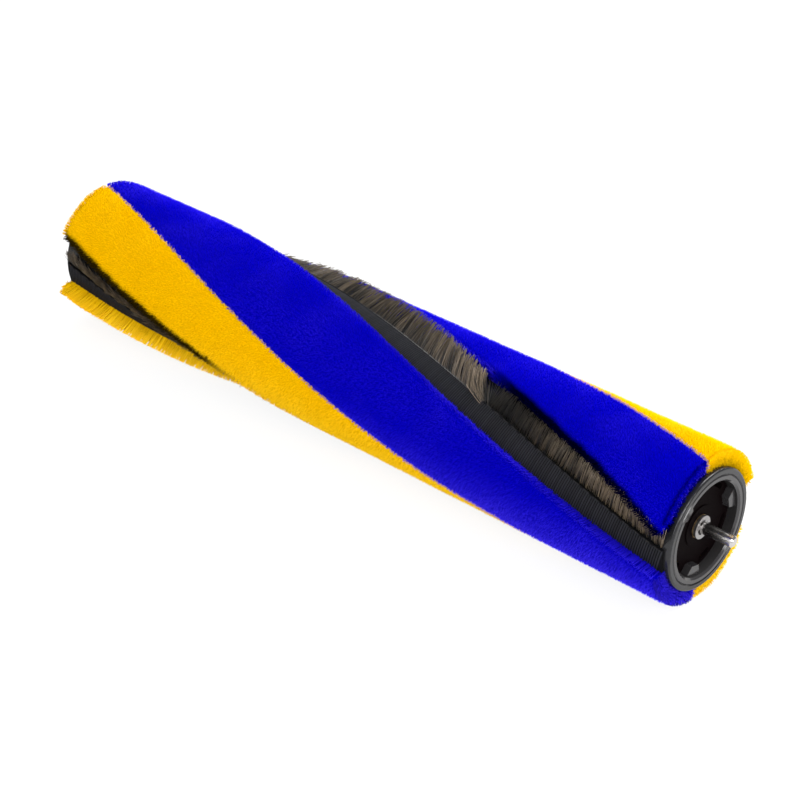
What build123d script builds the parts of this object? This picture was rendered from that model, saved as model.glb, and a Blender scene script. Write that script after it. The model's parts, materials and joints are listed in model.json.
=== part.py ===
"""Soft roller brush for a vacuum cleaner floor head.

Millimetres. X runs along the roller axis from the driven end to the axle end, Z is up,
and the floor is Z = 0, where the roller rests on a small flat spot of its pile.
Angles around the roller start at the top and grow towards the front (-Y).
"""
import os
from math import atan2, cos, degrees, radians, sin

from build123d import *

os.makedirs("parts", exist_ok=True)

# Roller
pile_dia = 40.0
pile_length = 209.6
pile_squash = 0.5
pile_end_round = 1.9
pile_end_crown = 0.5
pile_end_arc = 2.6
pile_shoulder = 1.5
helix_lead = 430.0
tube_dia = 31.4
tube_wall = 1.7
rim_stand = 1.6
rim_round = 0.55
rim_chamfer = 0.3
glue_gap = 0.1
seam_gap = 0.15

# Band edges around the roller, in degrees at the middle of the pile and at the pile's tips
blue_front_top = 16.5
front_seam = 86.5
yellow_front_bottom = 147.0
yellow_rear_bottom = 194.0
rear_seam = 276.5
blue_rear_top = 335.0
shoulder_lean = 2.5

# Filament strips: edges are measured from the strip's own seam
upper_strip_seam = 355.5
lower_strip_seam = 173.0
tape_width_angle = 22.5
tape_thickness = 0.9
selvedge_angle = 2.4
selvedge_rise = 0.35
stitch_gap = 0.1
fringe_root_angle = 4.5
fringe_tip_drop = 0.7
fringe_back_drop = 1.6
fringe_tip_angle = 11.0
fringe_back_angle = 18.0
tuft_pitch = 8.2
tuft_notch_width = 1.1
tuft_notch_depth = 1.3

# Axle end
pin_dia = 3.0
pin_reach = 7.2
pin_chamfer = 0.45
pin_tail = 1.2
lip_width = 1.7
lip_chamfer = 0.5
plug_wall = 1.0
plug_length = 14.0
plate_depth = 3.0
plate_thickness = 2.0
pad_dia = 10.4
pad_rise = 0.3
boss_dia = 9.6
lug_count = 3
lug_angle = 44.0
lug_depth = 1.1
lug_wall_width = 6.5
lug_tip_width = 2.8
lug_reach = 2.6
slot_inset = 1.7
slot_length = 4.2
slot_width = 1.5
slot_offset = 25.0
plate_rib_count = 6
plate_rib_width = 1.2

# Bush in the plate and the washers that run against it
bush_dia = 6.0
bush_length = 5.0
pin_clearance = 0.03
washer_dia = 5.4
washer_thickness = 0.3
end_play = 0.1

# Retaining clips on the pin
clip_dia = 6.0
clip_ring_bore = 3.9
clip_thickness = 0.6
clip_groove_dia = 2.3
clip_mouth_width = 2.2
clip_prong_width = 1.1
clip_prong_angle = 66.0
outer_clip_mouth = -112.0
inner_clip_mouth = 68.0

# Driven end
socket_bore_dia = 14.0
socket_length = 16.0
socket_wall = 2.8
key_count = 3
key_width = 3.0
key_depth = 1.4
key_angle = 30.0
socket_chamfer = 0.6
drive_plug_length = 18.0
drive_web_depth = 3.0
socket_stand = 1.0
drive_web_thickness = 2.0
drive_rib_count = 6
drive_rib_width = 1.4
drive_rib_length = 9.0

# Derived places along the axis
pile_radius = pile_dia / 2
tube_radius = tube_dia / 2
tube_bore_radius = tube_radius - tube_wall
pin_radius = pin_dia / 2
axis_z = pile_radius - pile_squash
overall_length = pile_length + 2 * rim_stand + pin_reach
tube_start = -overall_length / 2
pile_start = tube_start + rim_stand
pile_end = pile_start + pile_length
rim_face = pile_end + rim_stand
pin_tip = rim_face + pin_reach
plate_front = rim_face - plate_depth
plate_back = plate_front - plate_thickness
pad_front = plate_front + pad_rise
boss_back = pad_front - bush_length
outer_washer_back = pad_front + end_play
outer_clip_back = outer_washer_back + washer_thickness
inner_washer_front = boss_back - end_play
inner_clip_front = inner_washer_front - washer_thickness
pin_start = inner_clip_front - clip_thickness - pin_tail
twist = 360.0 * pile_length / helix_lead
half_twist = twist / 2
base_radius = tube_radius + glue_gap
tape_radius = base_radius + tape_thickness
selvedge_radius = tape_radius + selvedge_rise
fringe_tip_radius = pile_radius - fringe_tip_drop
fringe_back_radius = pile_radius - fringe_back_drop
plug_bore_radius = tube_bore_radius - plug_wall
lip_radius = tube_bore_radius - lip_width
lug_tip_radius = lip_radius - lug_reach
slot_radius = lip_radius - slot_inset
socket_radius = socket_bore_dia / 2
drive_web_front = tube_start + drive_web_depth
drive_web_back = drive_web_front + drive_web_thickness
socket_front = drive_web_front - socket_stand


def roller_plane(x, turn=0.0):
    """Plane across the roller at x; its local X points up, turned by an angle around the axis."""
    up = (0, -sin(radians(turn)), cos(radians(turn)))
    return Plane(origin=(x, 0, axis_z), x_dir=up, z_dir=(1, 0, 0))


def polar(radius, angle):
    """Point in a roller plane from its radius and angle."""
    return (radius * cos(radians(angle)), radius * sin(radians(angle)))


def gap_angle(gap, radius):
    """Angle that a small gap takes up at a radius."""
    return degrees(atan2(gap, radius))


axis_line = Axis((0, 0, axis_z), (1, 0, 0))
half_profile = Plane(origin=(0, 0, axis_z), x_dir=(1, 0, 0), z_dir=(0, -1, 0))
section_plane = roller_plane(pile_start, -half_twist)
twist_start = (pile_start, 0, axis_z)
twist_path = (pile_length, 0, 0)
seam_half = gap_angle(seam_gap / 2, pile_radius)

# Rings that round off both ends of the pile
with BuildPart() as pile_end_trim:
    with BuildSketch(half_profile):
        for edge_x, inward in ((pile_start, 1), (pile_end, -1)):
            with BuildLine():
                RadiusArc((edge_x, pile_radius - pile_end_round),
                          (edge_x + inward * pile_end_round, pile_radius + pile_end_crown),
                          inward * pile_end_arc)
                Polyline((edge_x + inward * pile_end_round, pile_radius + pile_end_crown),
                         (edge_x - inward * pile_end_round, pile_radius + pile_end_crown),
                         (edge_x - inward * pile_end_round, pile_radius - pile_end_round),
                         (edge_x, pile_radius - pile_end_round))
            make_face()
    revolve(axis=axis_line)

# Core tube that the pile and the tapes are bonded to
with BuildPart() as core_tube:
    with BuildSketch(half_profile):
        with Locations((tube_start, tube_bore_radius)):
            Rectangle(rim_face - tube_start, tube_wall, align=(Align.MIN, Align.MIN))
    revolve(axis=axis_line)
    inner_rims = core_tube.edges().filter_by(GeomType.CIRCLE).group_by(SortBy.RADIUS)[0]
    chamfer(inner_rims, rim_chamfer)
    drive_rim = core_tube.edges().filter_by(GeomType.CIRCLE).group_by(SortBy.RADIUS)[-1].sort_by(Axis.X)[0]
    chamfer(drive_rim, rim_round)
    axle_rim = core_tube.edges().filter_by(GeomType.CIRCLE).group_by(SortBy.RADIUS)[-1].sort_by(Axis.X)[-1]
    fillet(axle_rim, rim_round)
core_tube.part.label = "core_tube"
export_step(core_tube.part, "parts/core_tube.step")

# Blue pile at the front: rounded shoulder over the upper strip, plain seam against the yellow
blue_front_base = blue_front_top + shoulder_lean
blue_front_end = front_seam - seam_half
with BuildPart() as blue_plush_front:
    with BuildSketch(section_plane) as blue_front_section:
        with BuildLine():
            CenterArc((0, 0), base_radius, blue_front_base, blue_front_end - blue_front_base)
            Line(polar(base_radius, blue_front_end), polar(pile_radius, blue_front_end))
            CenterArc((0, 0), pile_radius, blue_front_top, blue_front_end - blue_front_top)
            Line(polar(pile_radius, blue_front_top), polar(base_radius, blue_front_base))
        make_face()
        shoulder = blue_front_section.vertices().sort_by_distance(polar(pile_radius, blue_front_top))[0]
        fillet(shoulder, pile_shoulder)
    add(Solid.extrude_linear_with_rotation(
        blue_front_section.sketch.face(), twist_start, twist_path, twist))
    add(pile_end_trim.part, mode=Mode.SUBTRACT)
    split(bisect_by=Plane.XY, keep=Keep.TOP)
blue_plush_front.part.label = "blue_plush_front"
export_step(blue_plush_front.part, "parts/blue_plush_front.step")

# Yellow pile at the front: plain seam against the blue, rounded shoulder over the lower strip
yellow_front_start = front_seam + seam_half
yellow_front_base = yellow_front_bottom - shoulder_lean
with BuildPart() as yellow_plush_front:
    with BuildSketch(section_plane) as yellow_front_section:
        with BuildLine():
            CenterArc((0, 0), base_radius, yellow_front_start, yellow_front_base - yellow_front_start)
            Line(polar(base_radius, yellow_front_base), polar(pile_radius, yellow_front_bottom))
            CenterArc((0, 0), pile_radius, yellow_front_start, yellow_front_bottom - yellow_front_start)
            Line(polar(pile_radius, yellow_front_start), polar(base_radius, yellow_front_start))
        make_face()
        shoulder = yellow_front_section.vertices().sort_by_distance(
            polar(pile_radius, yellow_front_bottom))[0]
        fillet(shoulder, pile_shoulder)
    add(Solid.extrude_linear_with_rotation(
        yellow_front_section.sketch.face(), twist_start, twist_path, twist))
    add(pile_end_trim.part, mode=Mode.SUBTRACT)
    split(bisect_by=Plane.XY, keep=Keep.TOP)
yellow_plush_front.part.label = "yellow_plush_front"
export_step(yellow_plush_front.part, "parts/yellow_plush_front.step")

# Yellow pile at the rear: rounded shoulder over the lower strip, plain seam against the blue
yellow_rear_base = yellow_rear_bottom + shoulder_lean
yellow_rear_end = rear_seam - seam_half
with BuildPart() as yellow_plush_rear:
    with BuildSketch(section_plane) as yellow_rear_section:
        with BuildLine():
            CenterArc((0, 0), base_radius, yellow_rear_base, yellow_rear_end - yellow_rear_base)
            Line(polar(base_radius, yellow_rear_end), polar(pile_radius, yellow_rear_end))
            CenterArc((0, 0), pile_radius, yellow_rear_bottom, yellow_rear_end - yellow_rear_bottom)
            Line(polar(pile_radius, yellow_rear_bottom), polar(base_radius, yellow_rear_base))
        make_face()
        shoulder = yellow_rear_section.vertices().sort_by_distance(
            polar(pile_radius, yellow_rear_bottom))[0]
        fillet(shoulder, pile_shoulder)
    add(Solid.extrude_linear_with_rotation(
        yellow_rear_section.sketch.face(), twist_start, twist_path, twist))
    add(pile_end_trim.part, mode=Mode.SUBTRACT)
    split(bisect_by=Plane.XY, keep=Keep.TOP)
yellow_plush_rear.part.label = "yellow_plush_rear"
export_step(yellow_plush_rear.part, "parts/yellow_plush_rear.step")

# Blue pile at the rear: plain seam against the yellow, rounded shoulder over the upper strip
blue_rear_start = rear_seam + seam_half
blue_rear_base = blue_rear_top - shoulder_lean
with BuildPart() as blue_plush_rear:
    with BuildSketch(section_plane) as blue_rear_section:
        with BuildLine():
            CenterArc((0, 0), base_radius, blue_rear_start, blue_rear_base - blue_rear_start)
            Line(polar(base_radius, blue_rear_base), polar(pile_radius, blue_rear_top))
            CenterArc((0, 0), pile_radius, blue_rear_start, blue_rear_top - blue_rear_start)
            Line(polar(pile_radius, blue_rear_start), polar(base_radius, blue_rear_start))
        make_face()
        shoulder = blue_rear_section.vertices().sort_by_distance(polar(pile_radius, blue_rear_top))[0]
        fillet(shoulder, pile_shoulder)
    add(Solid.extrude_linear_with_rotation(
        blue_rear_section.sketch.face(), twist_start, twist_path, twist))
    add(pile_end_trim.part, mode=Mode.SUBTRACT)
    split(bisect_by=Plane.XY, keep=Keep.TOP)
blue_plush_rear.part.label = "blue_plush_rear"
export_step(blue_plush_rear.part, "parts/blue_plush_rear.step")

# Woven tape of the upper strip, with a raised selvedge along the filaments
with BuildPart() as filament_tape_upper:
    with BuildSketch(section_plane) as upper_tape_section:
        with BuildLine():
            upper_tape_end = upper_strip_seam + tape_width_angle
            upper_selvedge_end = upper_strip_seam + selvedge_angle
            CenterArc((0, 0), base_radius, upper_strip_seam, tape_width_angle)
            Line(polar(base_radius, upper_tape_end), polar(tape_radius, upper_tape_end))
            CenterArc((0, 0), tape_radius, upper_selvedge_end, tape_width_angle - selvedge_angle)
            Line(polar(tape_radius, upper_selvedge_end), polar(selvedge_radius, upper_selvedge_end))
            CenterArc((0, 0), selvedge_radius, upper_strip_seam, selvedge_angle)
            Line(polar(selvedge_radius, upper_strip_seam), polar(base_radius, upper_strip_seam))
        make_face()
    add(Solid.extrude_linear_with_rotation(
        upper_tape_section.sketch.face(), twist_start, twist_path, twist))
filament_tape_upper.part.label = "filament_tape_upper"
export_step(filament_tape_upper.part, "parts/filament_tape_upper.step")

# Woven tape of the lower strip
with BuildPart() as filament_tape_lower:
    with BuildSketch(section_plane) as lower_tape_section:
        with BuildLine():
            lower_tape_end = lower_strip_seam + tape_width_angle
            lower_selvedge_end = lower_strip_seam + selvedge_angle
            CenterArc((0, 0), base_radius, lower_strip_seam, tape_width_angle)
            Line(polar(base_radius, lower_tape_end), polar(tape_radius, lower_tape_end))
            CenterArc((0, 0), tape_radius, lower_selvedge_end, tape_width_angle - selvedge_angle)
            Line(polar(tape_radius, lower_selvedge_end), polar(selvedge_radius, lower_selvedge_end))
            CenterArc((0, 0), selvedge_radius, lower_strip_seam, selvedge_angle)
            Line(polar(selvedge_radius, lower_strip_seam), polar(base_radius, lower_strip_seam))
        make_face()
    add(Solid.extrude_linear_with_rotation(
        lower_tape_section.sketch.face(), twist_start, twist_path, twist))
filament_tape_lower.part.label = "filament_tape_lower"
export_step(filament_tape_lower.part, "parts/filament_tape_lower.step")

# Partings between the tufts of a fringe, as stations along the roller
tuft_count = int(pile_length / tuft_pitch)
tuft_start = pile_start + (pile_length - (tuft_count - 1) * tuft_pitch) / 2
tuft_stations = [tuft_start + tuft_pitch * index for index in range(tuft_count)]
tuft_middle = (fringe_tip_angle + fringe_back_angle) / 2
pile_middle = (pile_start + pile_end) / 2


def parting_plane(x, angle):
    """Plane through the axis at x, with the strip's own turn there; its local Y is radial."""
    turn = radians(angle + 360.0 * (x - pile_middle) / helix_lead)
    return Plane(origin=(x, 0, axis_z), x_dir=(1, 0, 0), z_dir=(0, -cos(turn), -sin(turn)))


# Filaments of the upper strip: a soft comb that leans away from its tape
with BuildPart() as filament_fringe_upper:
    with BuildSketch(section_plane) as upper_fringe_section:
        with BuildLine():
            upper_root = upper_strip_seam - gap_angle(stitch_gap, base_radius)
            upper_tail = upper_root - fringe_root_angle
            CenterArc((0, 0), base_radius, upper_tail, fringe_root_angle)
            Line(polar(base_radius, upper_root), polar(tape_radius, upper_root))
            Spline(polar(tape_radius, upper_root),
                   polar((tape_radius + fringe_tip_radius) / 2, upper_root - 0.4 * fringe_tip_angle),
                   polar(fringe_tip_radius, upper_root - fringe_tip_angle))
            Line(polar(fringe_tip_radius, upper_root - fringe_tip_angle),
                 polar(fringe_back_radius, upper_root - fringe_back_angle))
            Line(polar(fringe_back_radius, upper_root - fringe_back_angle),
                 polar(base_radius, upper_tail))
        make_face()
    add(Solid.extrude_linear_with_rotation(
        upper_fringe_section.sketch.face(), twist_start, twist_path, twist))
    with BuildSketch(*[parting_plane(x, upper_root - tuft_middle) for x in tuft_stations]):
        with BuildLine():
            Polyline(
                (0, fringe_tip_radius - tuft_notch_depth),
                (tuft_notch_width / 2, pile_radius),
                (-tuft_notch_width / 2, pile_radius),
                close=True,
            )
        make_face()
    extrude(amount=fringe_tip_radius / 2, both=True, mode=Mode.SUBTRACT)
filament_fringe_upper.part.label = "filament_fringe_upper"
export_step(filament_fringe_upper.part, "parts/filament_fringe_upper.step")

# Filaments of the lower strip
with BuildPart() as filament_fringe_lower:
    with BuildSketch(section_plane) as lower_fringe_section:
        with BuildLine():
            lower_root = lower_strip_seam - gap_angle(stitch_gap, base_radius)
            lower_tail = lower_root - fringe_root_angle
            CenterArc((0, 0), base_radius, lower_tail, fringe_root_angle)
            Line(polar(base_radius, lower_root), polar(tape_radius, lower_root))
            Spline(polar(tape_radius, lower_root),
                   polar((tape_radius + fringe_tip_radius) / 2, lower_root - 0.4 * fringe_tip_angle),
                   polar(fringe_tip_radius, lower_root - fringe_tip_angle))
            Line(polar(fringe_tip_radius, lower_root - fringe_tip_angle),
                 polar(fringe_back_radius, lower_root - fringe_back_angle))
            Line(polar(fringe_back_radius, lower_root - fringe_back_angle),
                 polar(base_radius, lower_tail))
        make_face()
    add(Solid.extrude_linear_with_rotation(
        lower_fringe_section.sketch.face(), twist_start, twist_path, twist))
    with BuildSketch(*[parting_plane(x, lower_root - tuft_middle) for x in tuft_stations]):
        with BuildLine():
            Polyline(
                (0, fringe_tip_radius - tuft_notch_depth),
                (tuft_notch_width / 2, pile_radius),
                (-tuft_notch_width / 2, pile_radius),
                close=True,
            )
        make_face()
    extrude(amount=fringe_tip_radius / 2, both=True, mode=Mode.SUBTRACT)
filament_fringe_lower.part.label = "filament_fringe_lower"
export_step(filament_fringe_lower.part, "parts/filament_fringe_lower.step")

# Plug of the axle end: a lip flush with the tube, a skirt inside it and three lugs over the plate
with BuildPart() as axle_end_plug:
    with BuildSketch(half_profile) as axle_plug_profile:
        with BuildLine():
            Polyline(
                (rim_face, lip_radius),
                (rim_face, tube_bore_radius),
                (rim_face - plug_length, tube_bore_radius),
                (rim_face - plug_length, plug_bore_radius),
                (plate_front, plug_bore_radius),
                (plate_front, lip_radius),
                close=True,
            )
        make_face()
        lip_corner = axle_plug_profile.vertices().sort_by_distance((rim_face, lip_radius))[0]
        chamfer(lip_corner, lip_chamfer)
        rim_corner = axle_plug_profile.vertices().sort_by_distance((rim_face, tube_bore_radius))[0]
        chamfer(rim_corner, rim_chamfer)
    revolve(axis=axis_line)
    with BuildSketch(roller_plane(plate_front)):
        with PolarLocations(0, lug_count, start_angle=lug_angle):
            Polygon(
                (lug_tip_radius, -lug_tip_width / 2),
                (lip_radius + lip_chamfer, -lug_wall_width / 2),
                (lip_radius + lip_chamfer, lug_wall_width / 2),
                (lug_tip_radius, lug_tip_width / 2),
                align=None,
            )
    extrude(amount=plate_depth - lug_depth)
axle_end_plug.part.label = "axle_end_plug"
export_step(axle_end_plug.part, "parts/axle_end_plug.step")

# Dark plate behind the lugs that carries the bush
with BuildPart() as bearing_plate:
    with BuildSketch(roller_plane(plate_back)):
        Circle(plug_bore_radius)
    extrude(amount=plate_thickness)
    with BuildSketch(roller_plane(plate_front)):
        Circle(pad_dia / 2)
    extrude(amount=pad_rise)
    with BuildSketch(roller_plane(boss_back)):
        Circle(boss_dia / 2)
    extrude(amount=plate_back - boss_back)
    with BuildSketch(roller_plane(boss_back)):
        with PolarLocations((boss_dia / 2 + plug_bore_radius) / 2 - lip_chamfer, plate_rib_count,
                            start_angle=lug_angle):
            Rectangle(plug_bore_radius - boss_dia / 2, plate_rib_width)
    extrude(amount=plate_back - boss_back)
    with BuildSketch(roller_plane(boss_back)):
        Circle(bush_dia / 2)
    extrude(amount=bush_length, mode=Mode.SUBTRACT)
    with BuildSketch(roller_plane(plate_back)):
        for offset in (-slot_offset, slot_offset):
            with PolarLocations(slot_radius, lug_count, start_angle=lug_angle + 180.0 / lug_count + offset):
                SlotOverall(slot_length, slot_width, rotation=90)
    extrude(amount=plate_thickness, mode=Mode.SUBTRACT)
bearing_plate.part.label = "bearing_plate"
export_step(bearing_plate.part, "parts/bearing_plate.step")

# Bush pressed through the plate, in which the pin turns
with BuildPart() as axle_bush:
    with BuildSketch(roller_plane(boss_back)):
        Circle(bush_dia / 2)
        Circle(pin_radius + pin_clearance, mode=Mode.SUBTRACT)
    extrude(amount=bush_length)
axle_bush.part.label = "axle_bush"
export_step(axle_bush.part, "parts/axle_bush.step")

# Steel axle pin with a clip groove on each side of the bush
with BuildPart() as axle_pin:
    with BuildSketch(roller_plane(pin_start)):
        Circle(pin_radius)
    extrude(amount=pin_tip - pin_start)
    chamfer(axle_pin.edges().filter_by(GeomType.CIRCLE), pin_chamfer)
    with BuildSketch(roller_plane(outer_clip_back), roller_plane(inner_clip_front - clip_thickness)):
        Circle(pin_radius)
        Circle(clip_groove_dia / 2, mode=Mode.SUBTRACT)
    extrude(amount=clip_thickness, mode=Mode.SUBTRACT)
axle_pin.part.label = "axle_pin"
export_step(axle_pin.part, "parts/axle_pin.step")

# Thrust washer between the bush and the outer clip
with BuildPart() as outer_washer:
    with BuildSketch(roller_plane(outer_washer_back)):
        Circle(washer_dia / 2)
        Circle(pin_radius, mode=Mode.SUBTRACT)
    extrude(amount=washer_thickness)
outer_washer.part.label = "outer_washer"
export_step(outer_washer.part, "parts/outer_washer.step")

# Thrust washer between the bush and the inner clip
with BuildPart() as inner_washer:
    with BuildSketch(roller_plane(inner_clip_front)):
        Circle(washer_dia / 2)
        Circle(pin_radius, mode=Mode.SUBTRACT)
    extrude(amount=washer_thickness)
inner_washer.part.label = "inner_washer"
export_step(inner_washer.part, "parts/inner_washer.step")

# Spring clip in front of the bush, the light ring around the foot of the pin
clip_prong_length = (clip_ring_bore - clip_groove_dia) / 2
clip_prong_middle = (clip_ring_bore + clip_groove_dia) / 4
with BuildPart() as outer_clip:
    with BuildSketch(roller_plane(outer_clip_back, outer_clip_mouth)):
        Circle(clip_dia / 2)
        Circle(clip_ring_bore / 2, mode=Mode.SUBTRACT)
        for angle in (-clip_prong_angle, clip_prong_angle, 180.0):
            with PolarLocations(clip_prong_middle, 1, start_angle=angle):
                Rectangle(clip_prong_length + 2 * stitch_gap, clip_prong_width)
        Circle(clip_groove_dia / 2, mode=Mode.SUBTRACT)
        Rectangle(clip_dia, clip_mouth_width, align=(Align.MIN, Align.CENTER), mode=Mode.SUBTRACT)
    extrude(amount=clip_thickness)
outer_clip.part.label = "outer_clip"
export_step(outer_clip.part, "parts/outer_clip.step")

# Spring clip behind the bush
with BuildPart() as inner_clip:
    with BuildSketch(roller_plane(inner_clip_front - clip_thickness, inner_clip_mouth)):
        Circle(clip_dia / 2)
        Circle(clip_ring_bore / 2, mode=Mode.SUBTRACT)
        for angle in (-clip_prong_angle, clip_prong_angle, 180.0):
            with PolarLocations(clip_prong_middle, 1, start_angle=angle):
                Rectangle(clip_prong_length + 2 * stitch_gap, clip_prong_width)
        Circle(clip_groove_dia / 2, mode=Mode.SUBTRACT)
        Rectangle(clip_dia, clip_mouth_width, align=(Align.MIN, Align.CENTER), mode=Mode.SUBTRACT)
    extrude(amount=clip_thickness)
inner_clip.part.label = "inner_clip"
export_step(inner_clip.part, "parts/inner_clip.step")

# Plug of the driven end: lip and skirt in the tube, a web and a three-key drive socket
with BuildPart() as drive_end_plug:
    with BuildSketch(half_profile) as drive_plug_profile:
        with BuildLine():
            Polyline(
                (tube_start, lip_radius),
                (tube_start, tube_bore_radius),
                (tube_start + drive_plug_length, tube_bore_radius),
                (tube_start + drive_plug_length, plug_bore_radius),
                (drive_web_back, plug_bore_radius),
                (drive_web_back, socket_radius + socket_wall),
                (socket_front + socket_length, socket_radius + socket_wall),
                (socket_front + socket_length, socket_radius),
                (socket_front, socket_radius),
                (socket_front, socket_radius + socket_wall),
                (drive_web_front, socket_radius + socket_wall),
                (drive_web_front, lip_radius),
                close=True,
            )
        make_face()
        lip_corner = drive_plug_profile.vertices().sort_by_distance((tube_start, lip_radius))[0]
        chamfer(lip_corner, lip_chamfer)
        rim_corner = drive_plug_profile.vertices().sort_by_distance((tube_start, tube_bore_radius))[0]
        chamfer(rim_corner, rim_chamfer)
        mouth_corner = drive_plug_profile.vertices().sort_by_distance((socket_front, socket_radius))[0]
        chamfer(mouth_corner, socket_chamfer)
    revolve(axis=axis_line)
    with BuildSketch(roller_plane(drive_web_back)):
        with PolarLocations((socket_radius + socket_wall + plug_bore_radius) / 2, drive_rib_count):
            Rectangle(plug_bore_radius - socket_radius - socket_wall + 2 * lip_chamfer, drive_rib_width)
    extrude(amount=drive_rib_length)
    with BuildSketch(roller_plane(socket_front)):
        with PolarLocations(socket_radius + key_depth / 2, key_count, start_angle=key_angle):
            Rectangle(3 * key_depth, key_width)
        Circle(socket_radius + key_depth, mode=Mode.INTERSECT)
    extrude(amount=socket_length, mode=Mode.SUBTRACT)
drive_end_plug.part.label = "drive_end_plug"
export_step(drive_end_plug.part, "parts/drive_end_plug.step")
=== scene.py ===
import json
from collections import namedtuple
from math import cos, radians, sin

import bpy
from mathutils import Matrix, Vector, noise


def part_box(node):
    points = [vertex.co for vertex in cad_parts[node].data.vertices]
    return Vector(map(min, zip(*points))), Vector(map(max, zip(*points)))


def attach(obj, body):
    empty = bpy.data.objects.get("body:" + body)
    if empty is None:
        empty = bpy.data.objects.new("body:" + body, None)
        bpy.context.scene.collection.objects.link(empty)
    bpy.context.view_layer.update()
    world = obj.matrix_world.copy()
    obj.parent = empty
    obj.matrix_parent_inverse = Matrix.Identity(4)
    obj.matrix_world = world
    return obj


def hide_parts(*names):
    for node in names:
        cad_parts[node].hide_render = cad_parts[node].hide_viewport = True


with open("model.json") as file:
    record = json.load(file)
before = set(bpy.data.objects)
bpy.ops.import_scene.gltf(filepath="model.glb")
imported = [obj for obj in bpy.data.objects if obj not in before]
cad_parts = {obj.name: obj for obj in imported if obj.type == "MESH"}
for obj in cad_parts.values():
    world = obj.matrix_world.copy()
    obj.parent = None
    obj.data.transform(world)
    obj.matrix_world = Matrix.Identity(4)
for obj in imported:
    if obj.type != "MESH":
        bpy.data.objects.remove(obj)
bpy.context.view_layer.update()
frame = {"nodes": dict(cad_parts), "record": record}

bl_info = {
    "name": "Soft Roller Brush",
    "version": (1, 0, 0),
    "blender": (4, 5, 0),
    "location": "3D View > Sidebar > Roller",
    "description": "Plush, filament strips, end fittings and studio for a vacuum roller brush",
    "category": "Object",
}

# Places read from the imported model, in metres
PILE_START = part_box("blue_plush_front")[0][0]
PILE_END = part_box("blue_plush_front")[1][0]
PILE_MIDDLE = (PILE_START + PILE_END) / 2
AXIS_Z = (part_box("axle_pin")[0][2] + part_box("axle_pin")[1][2]) / 2
TUBE_RADIUS = (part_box("core_tube")[1][1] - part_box("core_tube")[0][1]) / 2
PLUG_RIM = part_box("axle_end_plug")[1][0]

# Mouth of the near plug, in metres: its bevel, the radius of the wall below, and a margin for its facets
PLUG_BEVEL = 0.0005
PLUG_WALL = 0.0123
PLUG_MARGIN = 0.00015

# Clearances of the soft pieces, in metres
FLOOR_CLEAR = 0.00003
PILE_FLOOR_CLEAR = 0.0003
TUBE_CLEAR = 0.0001
ROOT_CLEAR = 0.0003

# Place along the roller where the filaments of the upper strip part
PARTING = 0.042

# Mesh of a band of pile: steps around, stations along, and how the steps crowd at the open edge
BAND_STEPS = 22
BAND_STATIONS = 210
STEP_CROWDING = 1.4
# Ends of a band, in metres: an extra row of points, the drop of the surface and the length of that drop
END_ROW = 0.0006
END_DROP = 0.0004
END_DROP_LENGTH = 0.0012
# Open edge of a band: drop in metres, width of the drop and inset of the foot in degrees
SHOULDER_DROP = 0.0009
SHOULDER_WIDTH = 3.5
FOOT_INSET = 2.5
# Swell of the surface in metres, and its noise scales per metre and per degree
SWELL = 0.00014
SWELL_ALONG = 55.0
SWELL_AROUND = 0.07
# Scallops of an edge with painted shade in degrees, their noise scale per metre, and the width and depth of
# the painted shade
SCALLOP = 1.5
SCALLOP_ALONG = 330.0
DARK_WIDTH = 6.0
DARK_DEPTH = 1.5
# Painted shade under a band without a painted dark edge, and share of the tufts that grow on the side of an
# open edge
FOOT_SHADE = 0.5
SIDE_TUFTS = 0.3

# Rows of strands on a band: insets in degrees and metres, lean, strands per degree and reach
EDGE_INSET = 2.2
EDGE_END_INSET = 0.0008
EDGE_LEAN = 0.10
END_INSET = 1.5
END_STRANDS_PER_DEGREE = 6.5
END_REACH = -0.05
FRONT_BLUE_REACH = -0.14
# Ends of the pile: name, place along the roller and lean of the strands
PILE_ENDS = (("drive", PILE_START + 0.0004, 0.15), ("axle", PILE_END - 0.0004, -0.06))

# Tapes: mesh steps, and for the ribs their height in metres, bare margin in degrees and inset in metres
TAPE_STEPS = 8
TAPE_STATIONS = 160
RIB_RISE = 0.0002
RIB_MARGIN = 1.0
RIB_INSET = 0.0008
# Sewing along a tape: place from the seam in degrees, heights above the ground and insets in metres
SEWING_OFFSET = 0.5
STITCH_RISE = 0.0002
STITCH_INSET = 0.003
SELVEDGE_RISE = 0.00022
SELVEDGE_INSET = 0.001
# Filaments: place from the seam in degrees, inset in metres and points of their guide line
FILAMENT_OFFSET = -2.6
FILAMENT_INSET = 0.0006
FILAMENT_GUIDE = 400

# Tree inputs that are the same on every piece of a kind
TUFTS = {"Lean": 0.6, "Ruffle": 0.25}
EDGE_STRANDS = {"Count": 2400, "Thickness": 0.00017, "Bend": 0.10, "Root Width": 0.0011, "Clump": 0.08,
                "Spread": 0.03, "Shortest": 0.99}
END_STRANDS = {"Thickness": 0.00013, "Bend": 0.10, "Root Width": 0.0007, "Clump": 0.18,
               "Spread": 0.05, "Shortest": 0.96}
FILAMENTS = {"Thickness": 0.00009, "Lean": -1.35, "Bend": 0.10, "Root Width": 0.0018, "Clump": 0.65,
             "Spread": 0.11, "Shortest": 0.92}
RIBS = {"Thickness": 0.00022, "Lengthwise": 0.0, "Seed": 5}
STITCHES = {"Arch Radius": 0.0014, "Sweep": 1.1, "Thickness": 0.00024, "Lengthwise": 1.0, "Seed": 9}
SELVEDGE = {"Count": 170, "Arch Radius": 0.02, "Sweep": 0.075, "Thickness": 0.00009, "Lengthwise": 0.90,
            "Seed": 3}
# First seed of each kind of row
TUFT_SEED = 20
EDGE_SEED = 40
END_SEED = 60
FILAMENT_SEED = 80

# Tufts: loose lean, and the shortest and longest as shares of their length
TUFT_LOOSE = 0.13
TUFT_SHORTEST = 0.72
TUFT_LONGEST = 1.18
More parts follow.
